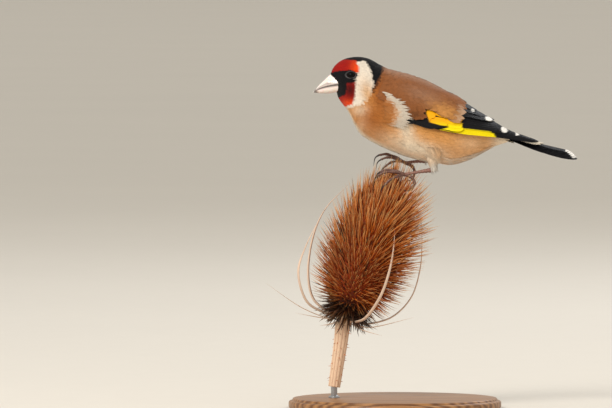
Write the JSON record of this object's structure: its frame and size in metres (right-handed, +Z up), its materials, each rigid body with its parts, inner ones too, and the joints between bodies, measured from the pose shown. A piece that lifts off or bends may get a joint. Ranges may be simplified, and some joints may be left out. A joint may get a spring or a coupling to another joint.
{
  "type": "goldfinch model on a teasel head",
  "caption": "Life-size still model of a European goldfinch with a red face and a yellow wing band, gripping a dry teasel head on a round display stand.",
  "frame": {"origin": "middle of the underside of the stand's round base", "axes": "-X the way the bird faces, -Y its left side, +Z up; the base's underside lies on Z = 0"},
  "size_m": [0.1464, 0.1, 0.1653],
  "materials": {
    "mask": "short feathers in crimson, white and black",
    "plumage": "soft matt body feathers",
    "breast": "soft matt body feathers, buff to cream",
    "flight": "firm black feathers with a yellow band and white tips",
    "down": "loose cream down",
    "bill": "horn, satin",
    "eye": "wet gloss",
    "leg": "scaled skin, satin",
    "claw": "dark horn, satin",
    "teasel": "dry seed head, matt",
    "stem": "dry ribbed stalk, matt",
    "wood": "oiled oak",
    "steel": "satin"
  },
  "bodies": {
    "root": {"bill_lower": "bill", "bill_upper": "bill", "bract_1": "stem", "bract_10": "stem", "bract_11": "stem", "bract_2": "stem", "bract_3": "stem", "bract_4": "stem", "bract_5": "stem", "bract_6": "stem", "bract_7": "stem", "bract_8": "stem", "bract_9": "stem", "claw_left_hind": "claw", "claw_left_inner": "claw", "claw_left_middle": "claw", "claw_left_outer": "claw", "claw_right_hind": "claw", "claw_right_inner": "claw", "claw_right_middle": "claw", "claw_right_outer": "claw", "eye_left": "eye", "eye_right": "eye", "foot_left": "leg", "foot_right": "leg", "head": "mask", "neck": "plumage", "shank_left": "leg", "shank_right": "leg", "stand_base": "wood", "stand_rod": "steel", "tail": "flight", "teasel_head": "teasel", "teasel_stem": "stem", "thigh_left": "down", "thigh_right": "down", "torso": "breast", "wing_left": "flight", "wing_right": "flight"}
  },
  "joints": []
}
